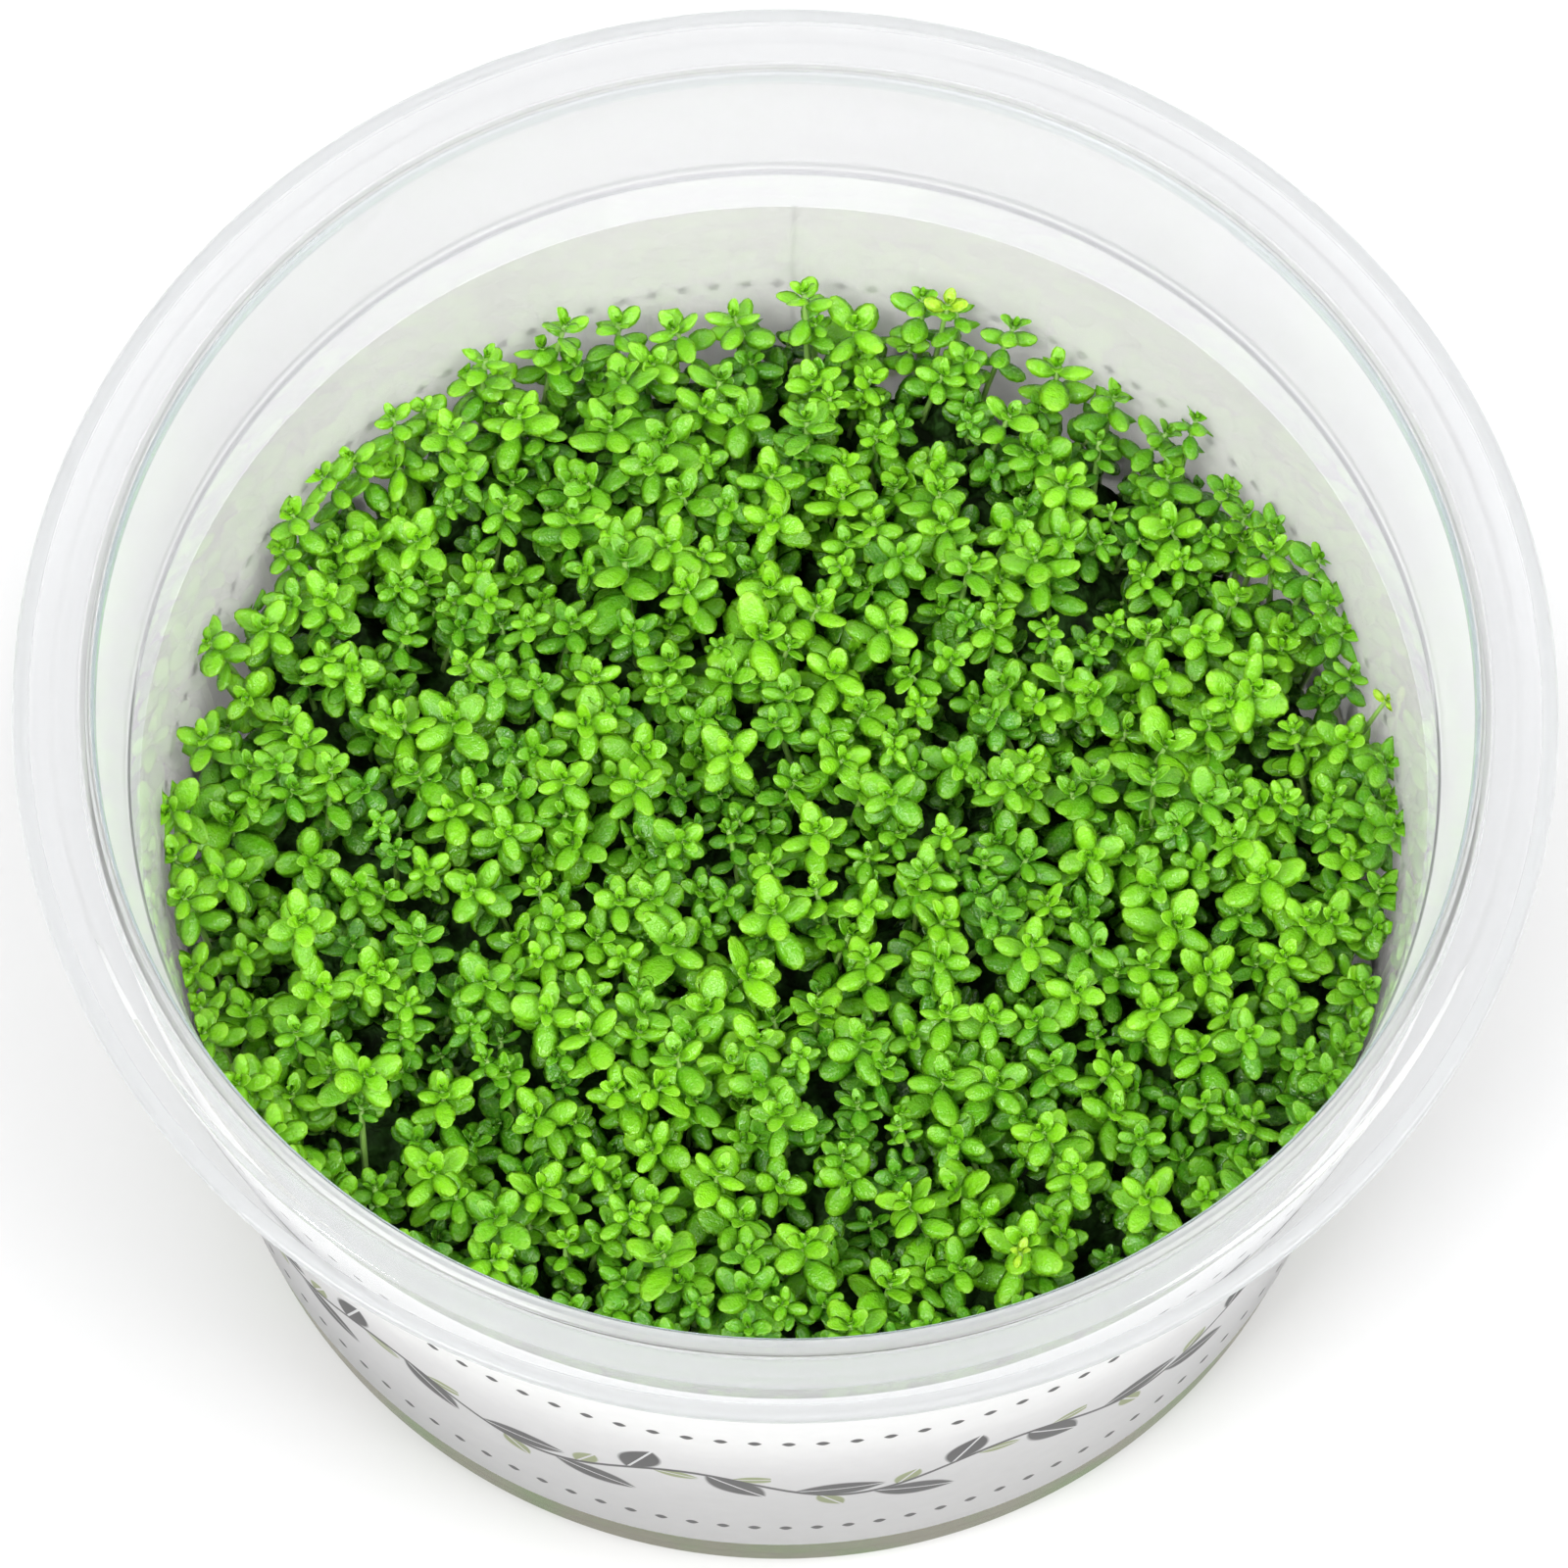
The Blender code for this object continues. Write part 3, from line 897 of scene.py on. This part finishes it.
# %% leaf forms
def leaf_form(name, width, cup, curl):
    """One form of leaf as a mesh. Its half width, cup and curl are shares of its length."""
    shape = bmesh.new()
    leaf_side(shape, LEAF_ACROSS, 1, width, cup, curl)
    leaf_side(shape, LEAF_ACROSS // 2, -1, width, cup, curl)
    bmesh.ops.remove_doubles(shape, verts=shape.verts, dist=0.002)
    bmesh.ops.recalc_face_normals(shape, faces=shape.faces)
    uv = shape.loops.layers.uv.new("leaf_map")
    for face in shape.faces:
        face.smooth = True
        for loop in face.loops:
            loop[uv].uv = (loop.vert.co.x / (2 * width) + 0.5, loop.vert.co.y)
    shape.verts.layers.float_color.new(TONE)
    mesh = bpy.data.meshes.new(name)
    shape.to_mesh(mesh)
    print(name, len(shape.faces), "faces")
    shape.free()
    return mesh


BUD = leaf_form("leaf_bud", 0.30, 0.9, -0.12)
YOUNG = leaf_form("leaf_young", 0.33, 0.45, 0.0)
MATURE = [
    leaf_form("leaf_flat", 0.33, -0.20, 0.06),
    leaf_form("leaf_curled", 0.34, -0.30, 0.20),
    leaf_form("leaf_cupped", 0.32, 0.25, 0.04),
    leaf_form("leaf_broad", 0.37, -0.15, 0.12),
    leaf_form("leaf_long", 0.29, -0.25, 0.10),
]

# %% [markdown]
# ## One plant
#
# Each plant is a thin stem that leans a little as it rises. It carries leaves in pairs, every pair a
# quarter turn from the one below. Towards the tip the pairs crowd together and the leaves are small
# and folded upwards, which gives the little rosettes that the photograph is full of.

# %% the stem
STEM_SIDES = 4
STEM_BASE_R = 0.28 * MM
STEM_TIP_R = 0.17 * MM


def bezier(base, bend, tip, u):
    return base * (1 - u) ** 2 + bend * 2 * u * (1 - u) + tip * u * u


def basis_at(direction, spin):
    """A turn whose Z axis runs along a direction, spun about it."""
    return direction.to_track_quat("Z", "X").to_matrix().to_4x4() @ Matrix.Rotation(spin, 4, "Z")


def stem_tube(plant, path, layer, tone):
    """A thin closed tube along a few points."""
    rings = []
    count = len(path)
    for k, point in enumerate(path):
        ahead = path[min(k + 1, count - 1)] - path[max(k - 1, 0)]
        radius = STEM_BASE_R + (STEM_TIP_R - STEM_BASE_R) * k / (count - 1)
        matrix = Matrix.Translation(point) @ basis_at(ahead, 0)
        made = bmesh.ops.create_circle(plant, segments=STEM_SIDES, radius=radius, matrix=matrix)["verts"]
        rings.append(made)
    for low, high in zip(rings, rings[1:]):
        for k in range(STEM_SIDES):
            nxt = (k + 1) % STEM_SIDES
            face = plant.faces.new((low[k], low[nxt], high[nxt], high[k]))
            face.smooth = True
            face.material_index = 1
    for ring, flip in ((rings[0], True), (rings[-1], False)):
        face = plant.faces.new(ring[::-1] if flip else ring)
        face.material_index = 1
    for ring in rings:
        for point in ring:
            point[layer] = tone


print("stem sides", STEM_SIDES)

# %% grow one plant
# From the tip down: how far below it a pair of leaves stands for a leaf of REFERENCE_LEAF, in
# millimetres, how large its leaves are, and how far they lift, in degrees
PAIR_DROP = (0.10, 0.30, 0.75, 1.6, 3.2, 5.3)
PAIR_SIZE = (0.36, 0.62, 0.88, 1.0, 1.05, 1.05)
PAIR_LIFT = (60, 42, 25, 12, 4, -2)
REFERENCE_LEAF = 2.4 * MM
LEAN_LOW, BEND_HEIGHT = 0.15, 0.62
STEM_STEPS = (0, 0.4, 0.7, 0.88, 1.0)
STEM_DARKER = 0.6
# Lower pairs are older and get painted shade: each pair below the third is darker.
OLDER_AND_SHADED_DARKER = 0.10
YELLOWNESS = 0.85


def stamp(plant, form, matrix, layer, tone):
    """A copy of a leaf form, placed in the plant, with its tone."""
    first = len(plant.verts)
    plant.from_mesh(form)
    plant.verts.ensure_lookup_table()
    new = plant.verts[first:]
    bmesh.ops.transform(plant, matrix=matrix, verts=new)
    for point in new:
        point[layer] = tone


def grow(draw, base, tip, leaf_length, brightness, pairs, yellow_share):
    """A plant from its foot to its tip, as a bmesh. A share of its leaves has turned yellow."""
    plant = bmesh.new()
    plant.loops.layers.uv.new("leaf_map")
    layer = plant.verts.layers.float_color.new(TONE)
    lean = Vector((tip.x - base.x, tip.y - base.y, 0))
    bend = base + lean * LEAN_LOW + Vector((0, 0, (tip.z - base.z) * BEND_HEIGHT))
    path = [bezier(base, bend, tip, u) for u in STEM_STEPS]
    stem_tube(plant, path, layer, (brightness * STEM_DARKER, draw.random(), 0, 1))
    length = (tip - base).length
    spin = draw.uniform(0, math.pi)
    scale = leaf_length / REFERENCE_LEAF
    for k in range(pairs):
        drop = PAIR_DROP[k] * MM * scale
        u = max(1 - drop / length, 0.05)
        place = bezier(base, bend, tip, u)
        behind = bezier(base, bend, tip, u - 0.05)
        heading = (bezier(base, bend, tip, min(u + 0.05, 1.0)) - behind).normalized()
        turn = spin + k * math.pi / 2 + draw.uniform(-0.22, 0.22)
        for side in (0, math.pi):
            size = leaf_length * PAIR_SIZE[k] * draw.uniform(0.86, 1.1)
            lift = math.radians(PAIR_LIFT[k] + draw.uniform(-8, 8))
            form = BUD if k == 0 else YOUNG if k == 1 else draw.choice(MATURE)
            matrix = (
                Matrix.Translation(place)
                @ basis_at(heading, turn + side + draw.uniform(-0.1, 0.1))
                @ Matrix.Rotation(lift, 4, "X")
                @ Matrix.Rotation(draw.uniform(-0.3, 0.3), 4, "Y")
                @ Matrix.Diagonal((size * draw.uniform(0.9, 1.12), size, size, 1))
            )
            older_and_shaded = OLDER_AND_SHADED_DARKER * max(k - 2, 0)
            tone = min(max(brightness - older_and_shaded + draw.uniform(-0.10, 0.06), 0), 1)
            yellow = YELLOWNESS if draw.random() < yellow_share else 0.0
            stamp(plant, form, matrix, layer, (tone, draw.random(), yellow, 1))
    return plant


print("pairs on the longest stem", len(PAIR_DROP))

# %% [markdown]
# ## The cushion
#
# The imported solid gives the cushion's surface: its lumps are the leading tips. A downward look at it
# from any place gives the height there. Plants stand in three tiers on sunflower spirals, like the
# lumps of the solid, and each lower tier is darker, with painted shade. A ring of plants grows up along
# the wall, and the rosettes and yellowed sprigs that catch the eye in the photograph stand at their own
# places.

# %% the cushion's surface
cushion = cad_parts["plant_cushion"]
skin = BVHTree.FromPolygons(
    [tuple(v.co) for v in cushion.data.vertices], [tuple(p.vertices) for p in cushion.data.polygons]
)
GEL_TOP = GEL_HIGH.z - SKIN_DIP


def surface_height(x, y):
    hit = skin.ray_cast(Vector((x, y, 0.1)), Vector((0, 0, -1)))[0]
    return hit.z if hit else CUSHION_HIGH.z - 4 * MM


print("surface in the middle at", round(surface_height(0, 0) / MM, 1), "mm")

# %% tiers of plants
GOLDEN_ANGLE = math.pi * (3 - math.sqrt(5))
TIPS_R = inner_radius(34 * MM) - 1.6 * MM
SMALLEST = 0.6
LARGE_SHARE, LARGE_SIZE = 0.05, 1.3
# Painted shade: a plant is darker the deeper its tip sits under the surface.
SHADE_DARKER_PER_METRE = 75
# Plants grow in patches of larger, brighter ones and smaller, darker ones
PATCH_SCALE = 110.0
SIZE_PATCH = 0.30
TONE_PATCH = 0.16
# Only the yellowed sprigs have yellow leaves
YELLOW_SHARE = 0.0
# Tiers of plants from the top down: how many, how far they reach past TIPS_R, how far they stray, how
# deep their tips lie, leaf length and its scatter, all in millimetres, then pairs and brightness, lower for
# lower tiers as painted shade
TIERS = (
    (350, 0.0, 0.7, (0.0, 0.8), 2.18, 0.36, 6, 0.90),
    (360, 0.3, 0.8, (1.2, 3.8), 2.00, 0.30, 5, 0.84),
    (260, 0.3, 0.8, (3.5, 8.0), 2.10, 0.35, 5, 0.80),
)


def tier(draw, count, past, scatter, depth, leaf_length, leaf_scatter, pairs, bright):
    """Plants spread evenly over the ground, their tips a random depth under the cushion's surface."""
    reach = TIPS_R + past * MM
    stray = scatter * MM
    made = []
    for k in range(count):
        out = reach * math.sqrt((k + 0.5) / count)
        turn = k * GOLDEN_ANGLE + count + draw.uniform(-0.06, 0.06)
        x = out * math.cos(turn) + draw.uniform(-stray, stray)
        y = out * math.sin(turn) + draw.uniform(-stray, stray)
        sunk = draw.uniform(depth[0] * MM, depth[1] * MM)
        size = max(draw.gauss(leaf_length * MM, leaf_scatter * MM), SMALLEST * (leaf_length * MM))
        if draw.random() < LARGE_SHARE:
            size *= LARGE_SIZE
        patch = smooth.noise(Vector((x, y, 0)) * PATCH_SCALE)
        size *= 1 + SIZE_PATCH * patch
        tone = bright - SHADE_DARKER_PER_METRE * sunk + TONE_PATCH * patch + draw.uniform(-0.20, 0.14)
        made.append((x, y, surface_height(x, y) - sunk, size, min(max(tone, 0.05), 1.0), pairs, YELLOW_SHARE))
    return made


print("tiers", len(TIERS))

# %% rosettes and yellowed sprigs
# Rosettes that stand out in the photograph: across, back and leaf length in millimetres
LANDMARKS = (
    (15.5, -27.8, 3.1), (23.3, -24.8, 2.5), (16.7, -20.2, 2.4), (23.7, -11.8, 2.4),
    (18.9, -10.3, 2.3), (16.0, -7.9, 2.3), (30.8, -2.3, 2.8), (4.2, 36.8, 2.9),
    (0.7, 38.0, 2.2), (-3.9, 37.2, 2.3), (-7.9, 36.7, 2.4), (-21.7, -23.1, 2.6),
    (-25.9, -17.8, 2.8), (-15.4, -19.3, 2.4), (-0.5, -5.6, 2.9), (5.5, -8.5, 2.6),
    (1.8, -27.8, 2.4), (8.2, -24.8, 2.4), (-3.6, -23.0, 2.5), (-30.4, -7.6, 2.5),
    (-35.9, -4.0, 2.4), (-37.4, 5.6, 2.2), (-33.8, 14.0, 2.4), (-24.2, 20.9, 2.5),
    (-17.8, 29.5, 2.6), (17.5, 34.2, 2.6), (18.2, 25.3, 2.5), (27.1, 14.9, 2.3),
    (-19.9, -4.3, 2.3), (-9.4, 3.1, 2.3), (-3.5, 5.2, 2.4), (-14.2, 3.7, 2.3),
    (6.8, 14.5, 2.3), (-6.6, 17.0, 2.3), (-1.0, 22.7, 2.5), (36.3, 7.1, 2.6),
)
# Yellowed sprigs: across, back, tip height and leaf length in millimetres, and the share of yellow leaves
YELLOWED = ((10.2, 37.2, 36.4, 1.9, 0.8), (38.6, 8.8, 37.4, 1.2, 0.7), (15.3, -28.9, 36.2, 1.4, 1.0))
LANDMARK_RISE = 0.9 * MM
LANDMARK_ROOM = 2.9 * MM


def clear_of_landmarks(stand):
    return all(math.hypot(stand[0] - x * MM, stand[1] - y * MM) > LANDMARK_ROOM for x, y, _ in LANDMARKS)


print("rosettes", len(LANDMARKS), "and yellowed sprigs", len(YELLOWED))

# %% where every plant stands
EDGE_PLANTS = 84
EDGE_TIP_Z = 34.6 * MM
EDGE_SCATTER = 2.0 * MM
# Painted light and shade: edge plants are brighter on the left, towards the key lamp, and darker on the
# right.
EDGE_BRIGHT, EDGE_SHADE_RIGHT = 0.85, 0.15


def stands():
    """(x, y, tip height, leaf length, brightness, pairs, share of yellow leaves) of every plant."""
    draw = random.Random(7)
    top, middle, low = [tier(draw, *measures) for measures in TIERS]
    edge = []
    for k in range(EDGE_PLANTS):
        turn = 2 * math.pi * (k + draw.uniform(-0.35, 0.35)) / EDGE_PLANTS
        tip = EDGE_TIP_Z + draw.uniform(-EDGE_SCATTER, EDGE_SCATTER)
        out = inner_radius(tip) - draw.uniform(0.5, 1.5) * MM
        size = draw.gauss(2.1, 0.25) * MM
        bright = EDGE_BRIGHT - EDGE_SHADE_RIGHT * math.cos(turn)
        edge.append((out * math.cos(turn), out * math.sin(turn), tip, size, bright, 6, YELLOW_SHARE))
    marks = []
    for x, y, size in LANDMARKS:
        x, y = x * MM, y * MM
        tip = surface_height(x, y) + LANDMARK_RISE
        marks.append((x, y, tip, size * MM, draw.uniform(0.9, 1.0), 6, YELLOW_SHARE))
    for x, y, tip, size, share in YELLOWED:
        marks.append((x * MM, y * MM, tip * MM, size * MM, 0.95, 3, share))
    return marks + [stand for stand in top + edge if clear_of_landmarks(stand)] + middle + low


plants = stands()
print(len(plants), "plants")

# %% [markdown]
# Between the tips the view goes down into a dark thicket of old stems and leaves, mostly in shade. One
# lumpy dark body a few millimetres under the tips stands for it, its near-black colour painted shade,
# so that no light gel shows through the gaps.

# %% the thicket under the tips
THICKET_DEPTH = 8.0 * MM
THICKET_CELLS = 60
THICKET_LUMPS = 0.9
# The near-black is painted shade. The green clumps are the old stems' own colour.
THICKET_SHADE_DARK, THICKET_GREEN = (0.006, 0.012, 0.003), (0.03, 0.085, 0.014)
thicket_shade_finish, tree, shader = new_material("thicket")
clumps = patchy(tree, object_place(tree), 700.0, 2.0, 0.35, 0.70)
plug(tree, shader, {"Base Color": blend(tree, clumps, THICKET_SHADE_DARK, THICKET_GREEN)})
plug(tree, shader, {"Roughness": 0.7, "Specular IOR Level": 0.1})
raise_skin(tree, shader, clumps, 0.8, 0.8 * MM)
print("material", thicket_shade_finish.name)


def grow_thicket():
    shape = bmesh.new()
    bmesh.ops.create_grid(shape, x_segments=THICKET_CELLS, y_segments=THICKET_CELLS, size=1.0)
    lumps = random.Random(5)
    reach = inner_radius(GEL_TOP) - 1.2 * MM
    for point in shape.verts:
        x, y = point.co.x, point.co.y
        flat = Vector((x * math.sqrt(1 - y * y / 2), y * math.sqrt(1 - x * x / 2))) * reach
        lump = lumps.uniform(-THICKET_LUMPS, THICKET_LUMPS) * MM
        height = surface_height(flat.x, flat.y) - THICKET_DEPTH + lump
        point.co = (flat.x, flat.y, height)
    rim = [edge for edge in shape.edges if edge.is_boundary]
    walls = bmesh.ops.extrude_edge_only(shape, edges=rim)["geom"]
    for item in walls:
        if isinstance(item, bmesh.types.BMVert):
            item.co.z = GEL_TOP + 0.3 * MM
    bmesh.ops.holes_fill(shape, edges=[e for e in shape.edges if e.is_boundary], sides=0)
    bmesh.ops.recalc_face_normals(shape, faces=shape.faces)
    for face in shape.faces:
        face.smooth = True
    return shape


piece("thicket_shade_core", grow_thicket(), [thicket_shade_finish], "plant_leaves", "plant_cushion")

# %% [markdown]
# The plants go into seven meshes, the middle and six sectors round it, so that none is too heavy. A
# carrier mesh hands each finished plant over to its patch. A plant's foot stands a little to one side
# of its tip, so that the stems lean. Leaves that would poke through the wall lie against it instead.

# %% grow the cushion in patches
SECTORS = 6
MIDDLE_R = 15 * MM
PRESSED = 0.30 * MM


def patch_of(x, y):
    """Which patch a plant belongs to: the middle, or a sector of the ring round it."""
    if math.hypot(x, y) < MIDDLE_R:
        return 0
    return 1 + int((math.atan2(y, x) % (2 * math.pi)) / (2 * math.pi) * SECTORS) % SECTORS


def press_to_wall(shape):
    """Leaves that would go through the wall lie against it instead."""
    for point in shape.verts:
        out = math.hypot(point.co.x, point.co.y)
        limit = inner_radius(point.co.z) - PRESSED
        if out > limit:
            point.co.x *= limit / out
            point.co.y *= limit / out


draw = random.Random(21)
patches = [bmesh.new() for _ in range(SECTORS + 1)]
carrier = bpy.data.meshes.new("carrier")
for x, y, tip_z, leaf_length, brightness, pairs, yellow_share in plants:
    tilt = draw.uniform(0.3, 5.0) * MM
    away = draw.uniform(0, 2 * math.pi)
    base = Vector((x + tilt * math.cos(away), y + tilt * math.sin(away), GEL_TOP - 0.5 * MM))
    limit = inner_radius(base.z) - 1.5 * MM
    if base.xy.length > limit:
        base.xy = base.xy * (limit / base.xy.length)
    plant = grow(draw, base, Vector((x, y, tip_z)), leaf_length, brightness, pairs, yellow_share)
    plant.to_mesh(carrier)
    plant.free()
    patches[patch_of(x, y)].from_mesh(carrier)
bpy.data.meshes.remove(carrier)
for number, shape in enumerate(patches):
    press_to_wall(shape)
    name = f"plants_sector_{number}" if number else "plants_middle"
    print(sum(len(face.verts) - 2 for face in shape.faces), "triangles")
    piece(name, shape, [leaf_finish, stem_finish], "plant_leaves", "plant_cushion")
